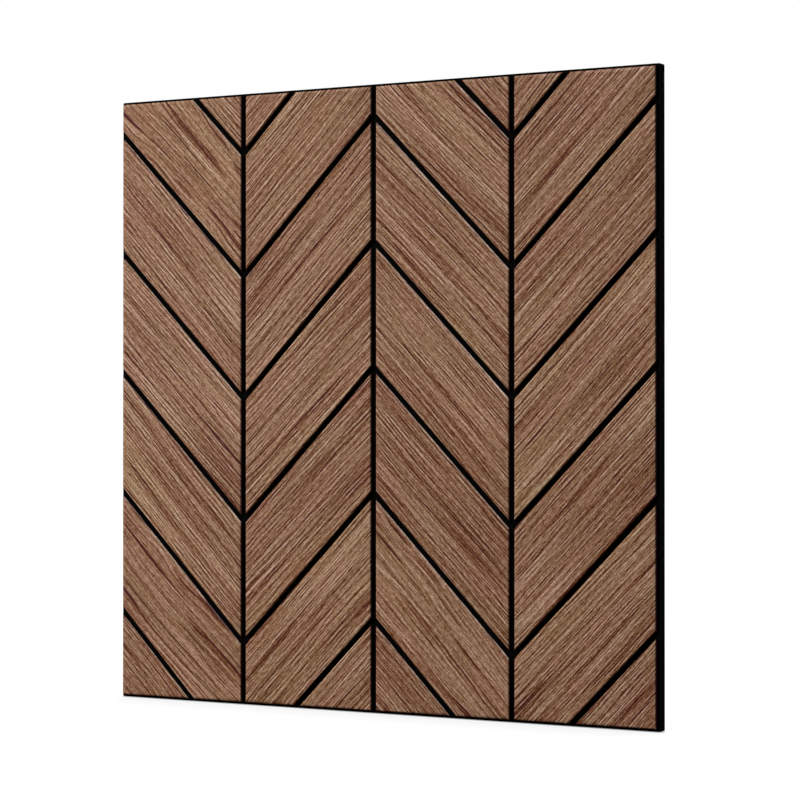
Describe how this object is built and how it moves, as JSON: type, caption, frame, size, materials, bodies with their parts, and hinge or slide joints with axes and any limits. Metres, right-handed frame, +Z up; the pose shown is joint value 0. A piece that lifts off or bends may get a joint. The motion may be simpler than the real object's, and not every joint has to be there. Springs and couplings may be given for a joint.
{
  "type": "milled mdf wall panel",
  "caption": "Square decorative wall panel of black-core MDF with a dark wood face, milled with a chevron of narrow grooves; glued flat to a wall, edge to edge with others.",
  "frame": {"origin": "centre of the panel's flat back face, which lies against the wall", "axes": "+X to the right seen from the front, +Z up, -Y out of the wall into the room; the back is in the plane Y = 0"},
  "size_m": [0.6, 0.0133, 0.6],
  "materials": {
    "core": "matte",
    "face": "satin"
  },
  "bodies": {
    "root": {"mdf_board": "core", "veneer_tile_c1_r1": "face", "veneer_tile_c1_r2": "face", "veneer_tile_c1_r3": "face", "veneer_tile_c1_r4": "face", "veneer_tile_c1_r5": "face", "veneer_tile_c1_r6": "face", "veneer_tile_c1_r7": "face", "veneer_tile_c2_r1": "face", "veneer_tile_c2_r2": "face", "veneer_tile_c2_r3": "face", "veneer_tile_c2_r4": "face", "veneer_tile_c2_r5": "face", "veneer_tile_c2_r6": "face", "veneer_tile_c2_r7": "face", "veneer_tile_c3_r1": "face", "veneer_tile_c3_r2": "face", "veneer_tile_c3_r3": "face", "veneer_tile_c3_r4": "face", "veneer_tile_c3_r5": "face", "veneer_tile_c3_r6": "face", "veneer_tile_c3_r7": "face", "veneer_tile_c4_r1": "face", "veneer_tile_c4_r2": "face", "veneer_tile_c4_r3": "face", "veneer_tile_c4_r4": "face", "veneer_tile_c4_r5": "face", "veneer_tile_c4_r6": "face", "veneer_tile_c4_r7": "face"}
  },
  "joints": []
}
